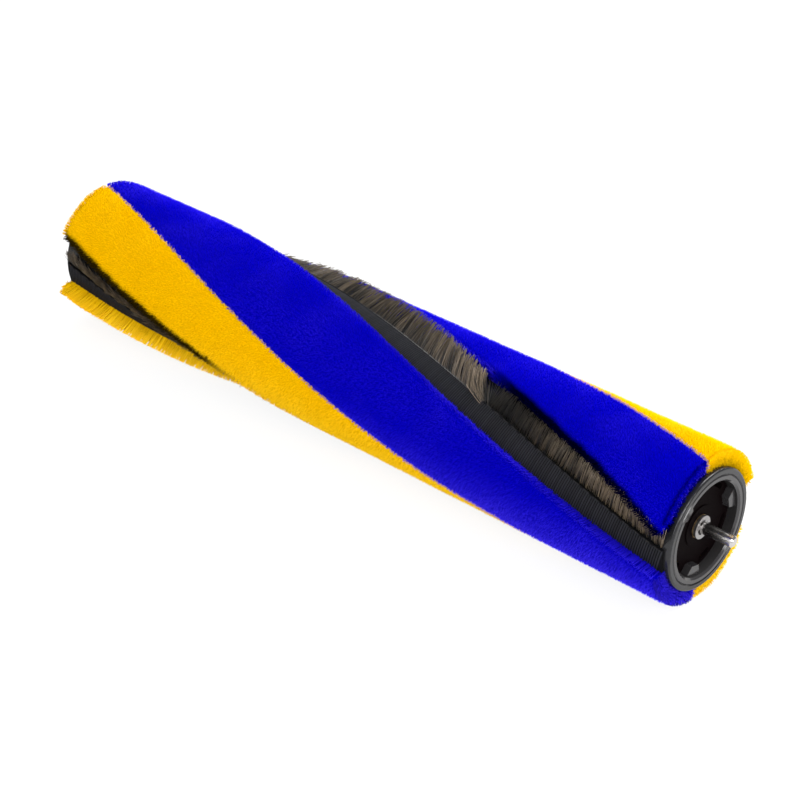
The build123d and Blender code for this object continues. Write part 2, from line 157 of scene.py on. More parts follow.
# Strands: the longest, the heights of bend and tip, and the taper, as shares of their length or thickness
STRAND_LONGEST = 1.03
STRAND_BEND_HEIGHT = 0.55
STRAND_TIP_HEIGHT = 0.96
STRAND_TAPER = 0.55
# Noise by which neighbouring fibres lean and shade alike, in scales per metre
PATCH_SWIRL = 60.0
LOCK_SWIRL = 260.0
FINE_SWIRL = 900.0
# Share of a strand's tone that it has in common with its neighbours, and the part of the noise that gives it
SHARED_TONE = 0.65
SHARED_FROM = 0.32
SHARED_TO = 0.68
# Shade from which a fibre has the finish without sheen, and how far single fibres depart from it
SHADE_LIMIT = 0.4
SHADE_SCATTER = 0.3
# Heights between which painted sheen lightens the fibres towards the floor, in metres, and how much lighter
# it makes them
PAINTED_SHEEN_FROM = 0.023
PAINTED_SHEEN_TO = 0.007
PAINTED_SHEEN_LIFT = 0.75
# Part of the patch noise that shows as lighter patches
PATCH_FROM = 0.48
PATCH_TO = 0.72
# Rub marks on plastic and metal, in scales per metre
RUB_SCALE = 260.0

# Studio: half the floor's width in metres, colours, and what the floor and the room are for reflections
FLOOR_REACH = 3.0
FLOOR_COLOUR = (0.9, 0.9, 0.9, 1.0)
FLOOR_REFLECTED = (0.45, 0.45, 0.45, 1.0)
FLOOR_GLOW = 0.85
ROOM_COLOUR = (1.0, 1.0, 1.0, 1.0)
ROOM_REFLECTED = (0.3, 0.3, 0.315, 1.0)
ROOM_STRENGTH = 0.85
# Lamps: name, place and size in metres, and power in watts
LAMPS = (
    ("Key", (0.05, -0.75, 0.45), 0.6, 5.0),
    ("Fill", (0.70, -0.30, 0.40), 0.45, 5.5),
    ("Back", (0.10, 0.45, 0.70), 0.5, 10.0),
)
LAMP_AIM = Vector((0.0, 0.0, 0.02))
# Camera: angles in degrees, lens and sensor in millimetres, places in metres
CAMERA_AZIMUTH = 42.269
CAMERA_ELEVATION = 31.97
CAMERA_LENS = 91.66
CAMERA_SENSOR = 36.0
CAMERA_AIM = Vector((PILE_END - 0.1042, 0.0, AXIS_Z))
CAMERA_DISTANCE = 0.535207
CAMERA_RIGHT = 0.006275
CAMERA_DOWN = 0.007296
CAMERA_NEAR = 0.01


class RollerSettings(bpy.types.PropertyGroup):
    """Sizes and colours of the roller's soft parts."""

    helix_lead: bpy.props.FloatProperty(
        name="Helix lead", description="Length of roller in which a band goes once around",
        default=0.430, unit="LENGTH")
    surface_radius: bpy.props.FloatProperty(
        name="Pile surface radius", description="Distance from the axis to the roots of the tufts",
        default=0.01935, unit="LENGTH")
    tuft_length: bpy.props.FloatProperty(
        name="Tuft length", description="Height of a cut tuft above the pile surface",
        default=0.0009, unit="LENGTH")
    tuft_radius: bpy.props.FloatProperty(
        name="Tuft radius", description="Radius of a tuft at its root",
        default=0.00013, unit="LENGTH")
    tuft_density: bpy.props.FloatProperty(
        name="Tuft density", description="Tufts on a square metre of pile",
        default=7.7e6)
    edge_length: bpy.props.FloatProperty(
        name="Edge strand length", description="Length of the strands along the edges and ends of the pile",
        default=0.0043, unit="LENGTH")
    filament_length: bpy.props.FloatProperty(
        name="Filament length", description="Length of a filament from its tape",
        default=0.0061, unit="LENGTH")
    filament_count: bpy.props.IntProperty(
        name="Filament count", description="Filaments along one strip",
        default=3600)
    tape_width: bpy.props.FloatProperty(
        name="Tape width", description="Width of a tape in degrees around the roller",
        default=22.5)
    tape_rise: bpy.props.FloatProperty(
        name="Tape thickness", description="Height of a tape with its ribs above the tube",
        default=0.0009, unit="LENGTH")
    rib_count: bpy.props.IntProperty(
        name="Rib count", description="Woven ribs along one tape",
        default=330)
    stitch_pitch: bpy.props.FloatProperty(
        name="Stitch pitch", description="Distance from one stitch to the next",
        default=0.0031, unit="LENGTH")
    blue: bpy.props.FloatVectorProperty(
        name="Blue pile", description="Colour of the blue pile",
        default=(0.0, 0.0, 0.48), subtype="COLOR")
    # The lighter colour tints random patches and the painted sheen towards the floor, and is the sheen tint
    blue_light: bpy.props.FloatVectorProperty(
        name="Blue pile, brushed up", description="Colour of the blue pile where it is brushed up",
        default=(0.07, 0.04, 0.95), subtype="COLOR")
    yellow: bpy.props.FloatVectorProperty(
        name="Yellow pile", description="Colour of the yellow pile",
        default=(0.76, 0.435, 0.0), subtype="COLOR")
    # The lighter colour tints random patches and the painted sheen towards the floor, and is the sheen tint
    yellow_light: bpy.props.FloatVectorProperty(
        name="Yellow pile, brushed up", description="Colour of the yellow pile where it is brushed up",
        default=(0.97, 0.62, 0.02), subtype="COLOR")
    filament: bpy.props.FloatVectorProperty(
        name="Filaments", description="Colour of the filaments",
        default=(0.082, 0.061, 0.039), subtype="COLOR")
    tape: bpy.props.FloatVectorProperty(
        name="Tape", description="Colour of the woven ribs",
        default=(0.0085, 0.009, 0.012), subtype="COLOR")


# Lines and meshes

def place(x, radius, angle, lead):
    """Point on the roller at x, with an angle given at mid length that winds with the helix."""
    turn = radians(angle + 360.0 * (x - PILE_MIDDLE) / lead)
    return Vector((x, -radius * sin(turn), AXIS_Z + radius * cos(turn)))


def stations(count):
    """Places along the pile."""
    return [PILE_START + (PILE_END - PILE_START) * index / count for index in range(count + 1)]


def ramp(value, low, high):
    """0 up to low, 1 from high on, straight between."""
    return min(1.0, max(0.0, (value - low) / (high - low)))


def mesh_object(name, points, faces, edges=()):
    """New object at the origin from points in the row frame."""
    mesh = bpy.data.meshes.new(name)
    mesh.from_pydata([tuple(p) for p in points], list(edges), faces)
    mesh.validate()
    obj = bpy.data.objects.new(name, mesh)
    bpy.context.scene.collection.objects.link(obj)
    return obj


def add_values(obj, name, domain, values):
    """Attribute of single values on an object's mesh."""
    layer = obj.data.attributes.new(name, "FLOAT", domain)
    layer.data.foreach_set("value", values)


def strip_faces(rows, steps):
    """Faces of a closed strip whose rows hold outer and then inner points, and the kind of each face."""
    faces, kinds = [], []

    def add(kind, *corners):
        faces.append(corners)
        kinds.append(kind)

    inner = steps + 1
    ring = 2 * inner
    for row in range(rows - 1):
        a, b = row * ring, (row + 1) * ring
        for step in range(steps):
            add("outer", a + step, a + step + 1, b + step + 1, b + step)
        for step in range(inner, inner + steps):
            add("inner", a + step + 1, a + step, b + step, b + step + 1)
        add("start", a, b, b + inner, a + inner)
        add("end", a + steps, a + inner + steps, b + inner + steps, b + steps)
    for step in range(steps):
        add("cap", step, inner + step, inner + step + 1, step + 1)
    last = (rows - 1) * ring
    for step in range(last, last + steps):
        add("cap", step + 1, inner + step + 1, inner + step, step)
    return faces, kinds


def helix_points(radius, angle, lead, count=120, inset=0.0, drift=None, start=None):
    """Line along the helix; drift turns it further around the roller, as a function of x."""
    first = PILE_START + inset if start is None else start
    last = PILE_END - inset
    xs = [first + (last - first) * i / count for i in range(count + 1)]
    return [place(x, radius, angle + (drift(x) if drift else 0.0), lead) for x in xs]


def arc_points(x, radius, start, end, lead, count=24):
    """Line around the roller at one x."""
    return [place(x, radius, start + (end - start) * i / count, lead) for i in range(count + 1)]


def guide_object(name, points, comb=None, reach=None, shade=None):
    """Guide line; comb tilts its strands along the line, reach lengthens them and shade darkens them.

    Each of the three is a function of x or one value for the whole line.
    """
    obj = mesh_object(name, points, [], [(i, i + 1) for i in range(len(points) - 1)])
    for label, value in (("comb", comb), ("reach", reach), ("shade", shade)):
        if value is not None:
            add_values(obj, label, "POINT", [value(p.x) if callable(value) else value for p in points])
    return obj


# Node trees

class Net:
    """A node tree under construction."""

    def __init__(self, name, kind, inputs, outputs):
        self.tree = bpy.data.node_groups.new(name, kind)
        for label, socket, value in inputs:
            made = self.tree.interface.new_socket(label, in_out="INPUT", socket_type=socket)
            if value is not None:
                made.default_value = value
        for label, socket in outputs:
            self.tree.interface.new_socket(label, in_out="OUTPUT", socket_type=socket)
        self.source = self.tree.nodes.new("NodeGroupInput")
        self.sink = self.tree.nodes.new("NodeGroupOutput")

    def given(self, label):
        return self.source.outputs[label]

    def add(self, kind, inputs=None, **settings):
        return add_node(self.tree, kind, inputs, **settings)

    def math(self, operation, *values):
        node = self.add("ShaderNodeMath", dict(enumerate(values)), operation=operation)
        return node.outputs[0]

    def vector(self, operation, *values):
        node = self.add("ShaderNodeVectorMath", dict(enumerate(values)), operation=operation)
        return node.outputs["Vector"]

    def scaled(self, vector, factor):
        node = self.add("ShaderNodeVectorMath", {0: vector, "Scale": factor}, operation="SCALE")
        return node.outputs["Vector"]

    def result(self, label, socket):
        self.tree.links.new(socket, self.sink.inputs[label])


def add_node(tree, kind, inputs=None, **settings):
    """Adds a node, sets its properties, and sets or links its inputs by name or number."""
    node = tree.nodes.new(kind)
    for key, value in settings.items():
        setattr(node, key, value)
    for key, value in (inputs or {}).items():
        if isinstance(key, str):
            socket = next(s for s in node.inputs if s.name == key and s.enabled)
        else:
            socket = node.inputs[key]
        if isinstance(value, bpy.types.NodeSocket):
            tree.links.new(value, socket)
        else:
            socket.default_value = value
    return node


def enabled_output(node):
    """The output that is in use, on a node that has one for each data type."""
    return next(s for s in node.outputs if s.enabled)


def tree_named(name, maker):
    """A node group by its name, made on its first use."""
    return bpy.data.node_groups.get(name) or maker()


def named_value(net, name):
    """Value of an attribute on the geometry."""
    return enabled_output(net.add("GeometryNodeInputNamedAttribute", {"Name": name}, data_type="FLOAT"))


def position(net):
    """Position of the geometry, split in X, Y and Z."""
    return net.add("ShaderNodeSeparateXYZ", {0: net.add("GeometryNodeInputPosition").outputs[0]})


def from_axis(net):
    """Vector from the roller's axis straight out to the geometry."""
    spot = position(net)
    height = net.math("SUBTRACT", spot.outputs["Z"], AXIS_Z)
    return net.add("ShaderNodeCombineXYZ", {"Y": spot.outputs["Y"], "Z": height}).outputs[0]


def random_value(net, low, high, seed):
    """Random number for each element."""
    node = net.add("FunctionNodeRandomValue", {2: low, 3: high, "Seed": seed}, data_type="FLOAT")
    return enabled_output(node)


def random_vector(net, size, seed):
    """Random vector for each element, up to a size on each axis."""
    node = net.add("FunctionNodeRandomValue", {0: (-size,) * 3, 1: (size,) * 3, "Seed": seed},
                   data_type="FLOAT_VECTOR")
    return enabled_output(node)


def clump_vector(net, scale):
    """Slowly varying vector from -0.5 to 0.5, so that neighbours lean alike."""
    swirl = net.add("ShaderNodeTexNoise", {"Scale": scale, "Detail": 1.0})
    return net.vector("SUBTRACT", swirl.outputs["Color"], (0.5, 0.5, 0.5))


def stored(net, geometry, name, value, domain):
    """Geometry with a value stored on it."""
    node = net.add("GeometryNodeStoreNamedAttribute", {"Geometry": geometry, "Name": name, "Value": value},
                   data_type="FLOAT", domain=domain)
    return node.outputs["Geometry"]


def above_floor(net, geometry):
    """Presses what reaches below the floor onto it."""
    spot = position(net)
    height = net.math("MAXIMUM", spot.outputs["Z"], FLOOR_CLEAR)
    pressed = net.add("ShaderNodeCombineXYZ", {"X": spot.outputs["X"], "Y": spot.outputs["Y"], "Z": height})
    moved = net.add("GeometryNodeSetPosition", {"Geometry": geometry, "Position": pressed.outputs[0]})
    return moved.outputs[0]


def finished(net, geometry, shaded=False):
    """End of a tree: Realize Instances, floor contact and Set Material, apart for shaded fibres."""
    real = net.add("GeometryNodeRealizeInstances", {"Geometry": geometry}).outputs[0]
    smooth = net.add("GeometryNodeSetShadeSmooth", {"Geometry": above_floor(net, real)}).outputs[0]
    lit = net.add("GeometryNodeSetMaterial", {
        "Geometry": smooth, "Material": net.given("Material")}).outputs[0]
    if not shaded:
        return lit
    own = net.math("MULTIPLY", net.math("SUBTRACT", named_value(net, "tone"), 0.5), SHADE_SCATTER)
    painted_shade = net.math("GREATER_THAN", net.math("ADD", named_value(net, "shade"), own), SHADE_LIMIT)
    return net.add("GeometryNodeSetMaterial", {
        "Geometry": lit, "Selection": painted_shade, "Material": net.given("Shaded Material")}).outputs[0]


def tuft_tree():
    """Short cut tufts scattered over a pile surface, kept together with that surface."""
    net = Net("Pile Tufts", "GeometryNodeTree", (
        ("Geometry", "NodeSocketGeometry", None),
        ("Density", "NodeSocketFloat", 7.7e6),
        ("Length", "NodeSocketFloat", 0.0009),
        ("Radius", "NodeSocketFloat", 0.00013),
        ("Lean", "NodeSocketFloat", 0.6),
        ("Ruffle", "NodeSocketFloat", 0.25),
        ("Seed", "NodeSocketInt", 1),
        ("Material", "NodeSocketMaterial", None),
        ("Shaded Material", "NodeSocketMaterial", None),
    ), (("Geometry", "NodeSocketGeometry"),))
    density = net.math("MULTIPLY", named_value(net, "pile"), net.given("Density"))
    scatter = net.add("GeometryNodeDistributePointsOnFaces", {
        "Mesh": net.given("Geometry"), "Density": density, "Seed": net.given("Seed")})
    cone = net.add("GeometryNodeMeshCone", {
        "Vertices": 3, "Radius Top": 0.0, "Radius Bottom": net.given("Radius"),
        "Depth": net.given("Length")}, fill_type="NONE")
    height = net.math("DIVIDE", position(net).outputs["Z"], net.given("Length"))
    tuft = stored(net, cone.outputs["Mesh"], "tip", height, "POINT")
    lean = net.scaled(clump_vector(net, PATCH_SWIRL), net.given("Lean"))
    fine = net.scaled(clump_vector(net, FINE_SWIRL), net.given("Ruffle"))
    loose = random_vector(net, TUFT_LOOSE, 3)
    astray = net.vector("ADD", lean, net.vector("ADD", fine, loose))
    way = net.vector("ADD", scatter.outputs["Normal"], astray)
    turn = net.add("FunctionNodeAlignRotationToVector", {"Vector": way}, axis="Z")
    grown = net.add("GeometryNodeInstanceOnPoints", {
        "Points": scatter.outputs["Points"], "Instance": tuft, "Rotation": turn.outputs[0],
        "Scale": random_value(net, TUFT_SHORTEST, TUFT_LONGEST, 5)})
    toned = stored(net, grown.outputs[0], "tone", random_value(net, 0.0, 1.0, 7), "INSTANCE")
    both = net.add("GeometryNodeJoinGeometry")
    net.tree.links.new(net.given("Geometry"), both.inputs[0])
    net.tree.links.new(toned, both.inputs[0])
    net.result("Geometry", finished(net, both.outputs[0], shaded=True))
    return net.tree


def strand_tree():
    """A row of bent strands rooted along a guide line and leaning to one side of it."""
    net = Net("Strand Row", "GeometryNodeTree", (
        ("Geometry", "NodeSocketGeometry", None),
        ("Count", "NodeSocketInt", 1000),
        ("Length", "NodeSocketFloat", 0.004),
        ("Thickness", "NodeSocketFloat", 0.0001),
        ("Lean", "NodeSocketFloat", 0.0),
        ("Bend", "NodeSocketFloat", 0.1),
        ("Root Width", "NodeSocketFloat", 0.0005),
        ("Clump", "NodeSocketFloat", 0.6),
        ("Spread", "NodeSocketFloat", 0.2),
        ("Shortest", "NodeSocketFloat", 0.86),
        ("Segments", "NodeSocketInt", 3),
        ("Seed", "NodeSocketInt", 1),
        ("Material", "NodeSocketMaterial", None),
        ("Shaded Material", "NodeSocketMaterial", None),
    ), (("Geometry", "NodeSocketGeometry"),))
    guide = net.add("GeometryNodeMeshToCurve", {"Mesh": net.given("Geometry")})
    row = net.add("GeometryNodeCurveToPoints", {"Curve": guide.outputs[0], "Count": net.given("Count")},
                  mode="COUNT")
    # Direction of each strand
    radial = net.vector("NORMALIZE", from_axis(net))
    side = net.vector("NORMALIZE", net.vector("CROSS_PRODUCT", row.outputs["Tangent"], radial))
    fine = net.scaled(clump_vector(net, FINE_SWIRL), net.given("Clump"))
    broad = net.scaled(clump_vector(net, LOCK_SWIRL), net.given("Clump"))
    loose = net.scaled(random_vector(net, 1.0, net.given("Seed")), net.given("Spread"))
    way = net.vector("ADD", radial, net.scaled(side, net.given("Lean")))
    way = net.vector("ADD", way, net.scaled(row.outputs["Tangent"], named_value(net, "comb")))
    way = net.vector("ADD", net.vector("ADD", way, loose), net.vector("ADD", fine, broad))
    upright = net.add("FunctionNodeAlignRotationToVector", {"Vector": way}, axis="Z")
    over = net.scaled(side, net.math("SIGN", net.given("Lean")))
    turn = net.add("FunctionNodeAlignRotationToVector", {
        "Rotation": upright.outputs[0], "Vector": over}, axis="X", pivot_axis="Z")
    # One strand of unit length, bent at its tip and tapered
    end = net.add("ShaderNodeCombineXYZ", {"X": net.given("Bend"), "Z": STRAND_TIP_HEIGHT})
    line = net.add("GeometryNodeCurveQuadraticBezier", {
        "Resolution": net.given("Segments"), "Start": (0, 0, 0), "Middle": (0, 0, STRAND_BEND_HEIGHT),
        "End": end.outputs[0]})
    rise = position(net).outputs["Z"]
    thinner = net.math("SUBTRACT", 1.0, net.math("MULTIPLY", rise, STRAND_TAPER))
    taper = net.add("GeometryNodeSetCurveRadius", {"Curve": line.outputs[0], "Radius": thinner})
    round_wire = net.add("GeometryNodeCurvePrimitiveCircle", {
        "Resolution": 3, "Radius": net.math("DIVIDE", net.given("Thickness"), net.given("Length"))})
    tube = net.add("GeometryNodeCurveToMesh", {
        "Curve": taper.outputs[0], "Profile Curve": round_wire.outputs[0],
        "Scale": net.add("GeometryNodeInputRadius").outputs[0]})
    strand = stored(net, tube.outputs[0], "tip", rise, "POINT")
    # The row
    across = net.math("MULTIPLY", random_value(net, -0.5, 0.5, 11), net.given("Root Width"))
    shifted = net.add("GeometryNodeSetPosition", {
        "Geometry": row.outputs["Points"], "Offset": net.scaled(side, across)})
    share = random_value(net, net.given("Shortest"), STRAND_LONGEST, 13)
    size = net.math("MULTIPLY", share, net.given("Length"))
    size = net.math("MULTIPLY", size, net.math("ADD", named_value(net, "reach"), 1.0))
    grown = net.add("GeometryNodeInstanceOnPoints", {
        "Points": shifted.outputs[0], "Instance": strand, "Rotation": turn.outputs[0], "Scale": size})
    lock = net.add("ShaderNodeTexNoise", {"Scale": FINE_SWIRL, "Detail": 2.0}).outputs["Fac"]
    shared = net.add("ShaderNodeMapRange", {"Value": lock, "From Min": SHARED_FROM, "From Max": SHARED_TO})
    shared = net.math("MULTIPLY", shared.outputs[0], SHARED_TONE)
    own = net.math("MULTIPLY", random_value(net, 0.0, 1.0, 17), 1.0 - SHARED_TONE)
    toned = stored(net, grown.outputs[0], "tone", net.math("ADD", shared, own), "INSTANCE")
    net.result("Geometry", finished(net, toned, shaded=True))
    return net.tree


def thread_tree():
    """Short arched threads laid along a guide line: crosswise for woven ribs, lengthwise for stitches."""
    net = Net("Threads Along Guide", "GeometryNodeTree", (
        ("Geometry", "NodeSocketGeometry", None),
        ("Count", "NodeSocketInt", 100),
        ("Arch Radius", "NodeSocketFloat", 0.0167),
        ("Sweep", "NodeSocketFloat", 0.3),
        ("Thickness", "NodeSocketFloat", 0.0002),
        ("Lengthwise", "NodeSocketFloat", 0.0),
        ("Seed", "NodeSocketInt", 1),
        ("Material", "NodeSocketMaterial", None),
    ), (("Geometry", "NodeSocketGeometry"),))
    guide = net.add("GeometryNodeMeshToCurve", {"Mesh": net.given("Geometry")})
    row = net.add("GeometryNodeCurveToPoints", {"Curve": guide.outputs[0], "Count": net.given("Count")},
                  mode="COUNT")
    out = from_axis(net)
    upright = net.add("FunctionNodeAlignRotationToVector", {"Vector": out}, axis="X")
    side = net.vector("CROSS_PRODUCT", row.outputs["Tangent"], net.vector("NORMALIZE", out))
    mixed = net.add("ShaderNodeMix", {
        "Factor": net.given("Lengthwise"), "A": row.outputs["Tangent"], "B": side}, data_type="VECTOR")
    turn = net.add("FunctionNodeAlignRotationToVector", {
        "Rotation": upright.outputs[0], "Vector": enabled_output(mixed)}, axis="Z", pivot_axis="X")
    arch = net.add("GeometryNodeCurveArc", {
        "Resolution": 5, "Radius": net.given("Arch Radius"),
        "Start Angle": net.math("MULTIPLY", net.given("Sweep"), -0.5), "Sweep Angle": net.given("Sweep")})
    back = net.add("ShaderNodeCombineXYZ", {"X": net.math("MULTIPLY", net.given("Arch Radius"), -1.0)})
    seated = net.add("GeometryNodeSetPosition", {"Geometry": arch.outputs[0], "Offset": back.outputs[0]})
    round_wire = net.add("GeometryNodeCurvePrimitiveCircle", {
        "Resolution": 5, "Radius": net.given("Thickness")})
    tube = net.add("GeometryNodeCurveToMesh", {
        "Curve": seated.outputs[0], "Profile Curve": round_wire.outputs[0], "Fill Caps": True})
    laid = net.add("GeometryNodeInstanceOnPoints", {
        "Points": row.outputs["Points"], "Instance": tube.outputs[0], "Rotation": turn.outputs[0]})
    toned = stored(net, laid.outputs[0], "tone", random_value(net, 0.0, 1.0, net.given("Seed")), "INSTANCE")
    net.result("Geometry", finished(net, toned))
    return net.tree


def grow(obj, tree, values):
    """Runs a geometry tree on an object with the given named inputs and keeps the result as a plain mesh."""
    modifier = obj.modifiers.new("Growth", "NODES")
    modifier.node_group = tree
    sockets = {item.name: item.identifier for item in tree.interface.items_tree
               if item.item_type == "SOCKET" and item.in_out == "INPUT"}
    for label, value in values.items():
        modifier[sockets[label]] = value
    obj.update_tag()
    bpy.context.view_layer.update()
    evaluated = obj.evaluated_get(bpy.context.evaluated_depsgraph_get())
    mesh = bpy.data.meshes.new_from_object(evaluated)
    obj.modifiers.remove(modifier)
    guide = obj.data
    obj.data = mesh
    mesh.name = obj.name
    bpy.data.meshes.remove(guide)


# Materials

def fibre_tone_group():
    """Fibre colour: painted shade at the root and in shadow, a random tone, lighter patches, and painted
    sheen near the floor.
    """
    net = Net("Fibre Tone", "ShaderNodeTree", (
        ("Colour", "NodeSocketColor", None),
        ("Light Colour", "NodeSocketColor", None),
        ("Root Shade", "NodeSocketFloat", 0.35),
        ("Variation", "NodeSocketFloat", 0.3),
        ("Patch Scale", "NodeSocketFloat", 40.0),
        ("Patch Amount", "NodeSocketFloat", 0.3),
    ), (("Colour", "NodeSocketColor"),))
    tip = net.add("ShaderNodeAttribute", attribute_name="tip").outputs["Fac"]
    tone = net.add("ShaderNodeAttribute", attribute_name="tone").outputs["Fac"]
    hidden = net.add("ShaderNodeAttribute", attribute_name="shade").outputs["Fac"]
    spot = net.add("ShaderNodeTexCoord").outputs["Object"]
    # Brightness: painted shade at the root and where the shade attribute is set, and a random tone
    rooted = net.add("ShaderNodeMapRange", {"Value": tip, "To Min": net.given("Root Shade"), "To Max": 1.0})
    spread = net.math("MULTIPLY", net.math("SUBTRACT", tone, 0.5), net.given("Variation"))
    lit = net.math("SUBTRACT", 1.0, hidden)
    level = net.math("MULTIPLY", net.math("ADD", rooted.outputs[0], spread), lit)
    # Lighter random patches, and painted sheen that lightens the fibre tips towards the floor
    patches = net.add("ShaderNodeTexNoise", {
        "Vector": spot, "Scale": net.given("Patch Scale"), "Detail": 3.0})
    patch = net.add("ShaderNodeMapRange", {
        "Value": patches.outputs["Fac"], "From Min": PATCH_FROM, "From Max": PATCH_TO,
        "To Max": net.given("Patch Amount")})
    # Painted sheen: fibre tips are lighter towards the floor
    low = net.add("ShaderNodeMapRange", {
        "Value": net.add("ShaderNodeSeparateXYZ", {0: spot}).outputs["Z"],
        "From Min": PAINTED_SHEEN_FROM, "From Max": PAINTED_SHEEN_TO, "To Max": PAINTED_SHEEN_LIFT})
    patch_and_sheen_lift = net.math("MULTIPLY", net.math("ADD", patch.outputs[0], low.outputs[0]), tip)
    tint = net.add("ShaderNodeMix", {
        "Factor": net.math("MINIMUM", patch_and_sheen_lift, 1.0), "A": net.given("Colour"),
        "B": net.given("Light Colour")}, data_type="RGBA")
    dark = net.add("ShaderNodeMix", {"Factor": level, "A": (0, 0, 0, 1), "B": enabled_output(tint)},
                   data_type="RGBA", clamp_factor=False)
    net.result("Colour", enabled_output(dark))
    return net.tree


def handled_group():
    """Roughness of plastic or metal with faint rub marks."""
    net = Net("Handled Surface", "ShaderNodeTree", (
        ("Roughness", "NodeSocketFloat", 0.4),
        ("Marks", "NodeSocketFloat", 0.15),
    ), (("Roughness", "NodeSocketFloat"),))
    spot = net.add("ShaderNodeTexCoord").outputs["Object"]
    broad = net.add("ShaderNodeTexNoise", {"Vector": spot, "Scale": RUB_SCALE, "Detail": 4.0})
    marks = net.math("MULTIPLY", net.math("SUBTRACT", broad.outputs["Fac"], 0.5), net.given("Marks"))
    net.result("Roughness", net.math("ADD", net.given("Roughness"), marks))
    return net.tree


def new_material(name):
    """A material with its tree and its Principled shader."""
    material = bpy.data.materials.new(name)
    material.use_nodes = True
    return material, material.node_tree, material.node_tree.nodes["Principled BSDF"]


def colour(values):
    """Three colour values with full alpha."""
    return (values[0], values[1], values[2], 1.0)


def fibre_material(name, base, light, tone, surface):
    """Fibre with the shared tone group; tone sets the group's inputs and surface the Principled sockets."""
    found = bpy.data.materials.get(name)
    if found:
        return found
    material, tree, shader = new_material(name)
    group = add_node(tree, "ShaderNodeGroup", node_tree=tree_named("Fibre Tone", fibre_tone_group))
    group.inputs["Colour"].default_value = colour(base)
    group.inputs["Light Colour"].default_value = colour(light)
    for label, value in tone.items():
        group.inputs[label].default_value = value
    tree.links.new(group.outputs["Colour"], shader.inputs["Base Color"])
    for label, value in surface.items():
        shader.inputs[label].default_value = value
    return material


def plush_material(slot, settings, shaded=False):
    """Cut pile; the fibres that lie in shadow have no sheen."""
    blue = slot == "blue_plush"
    name = "Blue Pile" if blue else "Yellow Pile"
    base = settings.blue if blue else settings.yellow
    light = settings.blue_light if blue else settings.yellow_light
    sheen = 1.0 if blue else 0.25
    return fibre_material(
        name + " In Shadow" if shaded else name, base, light,
        {"Root Shade": 0.58 if blue else 0.78, "Variation": 0.18, "Patch Scale": 55.0, "Patch Amount": 0.25},
        {"Roughness": 1.0, "Specular IOR Level": 0.0, "Sheen Roughness": 0.4,
         "Sheen Tint": colour(light), "Sheen Weight": 0.0 if shaded else sheen})


def filament_material(settings):
    """Brown-black filaments that differ much from one to the next."""
    return fibre_material(
        "Filament", settings.filament, (0.16, 0.13, 0.10),
        {"Root Shade": 0.3, "Variation": 2.2, "Patch Scale": 160.0, "Patch Amount": 0.6},
        {"Roughness": 0.40, "Specular IOR Level": 0.5})


def tape_material(settings):
    """Woven ribs of a tape."""
    return fibre_material(
        "Tape Weave", settings.tape, (0.05, 0.052, 0.06),
        {"Root Shade": 1.0, "Variation": 0.5, "Patch Scale": 150.0, "Patch Amount": 0.3},
        {"Roughness": 0.7, "Specular IOR Level": 0.2})


def ground_material():
    """Black ground of a tape between its ribs, darker than the ribs as painted shade between them."""
    return fibre_material(
        "Tape Ground", (0.0025, 0.0025, 0.0032), (0.01, 0.01, 0.012),
        {"Root Shade": 1.0, "Variation": 0.5, "Patch Scale": 150.0, "Patch Amount": 0.3},
        {"Roughness": 0.8, "Specular IOR Level": 0.1})


def selvedge_highlight_material():
    """Threads along the sewn edge of a tape, painted paler as a highlight where the edge catches the light.
    """
    return fibre_material(
        "Tape Selvedge Highlight", (0.060, 0.059, 0.057), (0.12, 0.12, 0.11),
        {"Root Shade": 1.0, "Variation": 0.8, "Patch Scale": 150.0, "Patch Amount": 0.3},
        {"Roughness": 0.6, "Specular IOR Level": 0.3})


def plastic_material(name, base, roughness, marks, gloss):
    """Moulded plastic with rub marks."""
    material, tree, shader = new_material(name)
    group = add_node(tree, "ShaderNodeGroup", node_tree=tree_named("Handled Surface", handled_group))
    group.inputs["Roughness"].default_value = roughness
    group.inputs["Marks"].default_value = marks
    tree.links.new(group.outputs["Roughness"], shader.inputs["Roughness"])
    shader.inputs["Base Color"].default_value = base
    shader.inputs["Specular IOR Level"].default_value = gloss
    return material


def plug_material(name, base, painted_shade, roughness, dulling, marks, gloss):
    """Plug plastic: polished on its rim and lugs, with painted shade in a darker base and duller on the wall
    below the rim.
    """
    material = plastic_material(name, base, roughness, marks, gloss)
    tree = material.node_tree
    shader = tree.nodes["Principled BSDF"]
    polish = shader.inputs["Roughness"].links[0].from_socket

    def math(operation, *values):
        return add_node(tree, "ShaderNodeMath", dict(enumerate(values)), operation=operation).outputs[0]

    where = add_node(tree, "ShaderNodeTexCoord").outputs["Object"]
    spot = add_node(tree, "ShaderNodeSeparateXYZ", {0: where})
    height = math("SUBTRACT", spot.outputs["Z"], AXIS_Z)
    across = add_node(tree, "ShaderNodeCombineXYZ", {"Y": spot.outputs["Y"], "Z": height})
    radius = add_node(tree, "ShaderNodeVectorMath", {0: across.outputs[0]}, operation="LENGTH")
    # Painted shade: the wall below the rim gets the darker colour
    outer = math("GREATER_THAN", radius.outputs["Value"], PLUG_WALL - PLUG_MARGIN)
    below = math("LESS_THAN", spot.outputs["X"], PLUG_RIM - PLUG_BEVEL)
    wall = math("MULTIPLY", below, outer)
    tint = add_node(tree, "ShaderNodeMix", {"Factor": wall, "A": base, "B": painted_shade}, data_type="RGBA")
    tree.links.new(enabled_output(tint), shader.inputs["Base Color"])
    tree.links.new(math("MULTIPLY_ADD", wall, dulling, polish), shader.inputs["Roughness"])
    return material


def metal_material(name, base, roughness, marks):
    """Bare metal with rub marks."""
    material = plastic_material(name, base, roughness, marks, gloss=0.5)
    material.node_tree.nodes["Principled BSDF"].inputs["Metallic"].default_value = 1.0
    return material


# How the soft pieces change along the roller

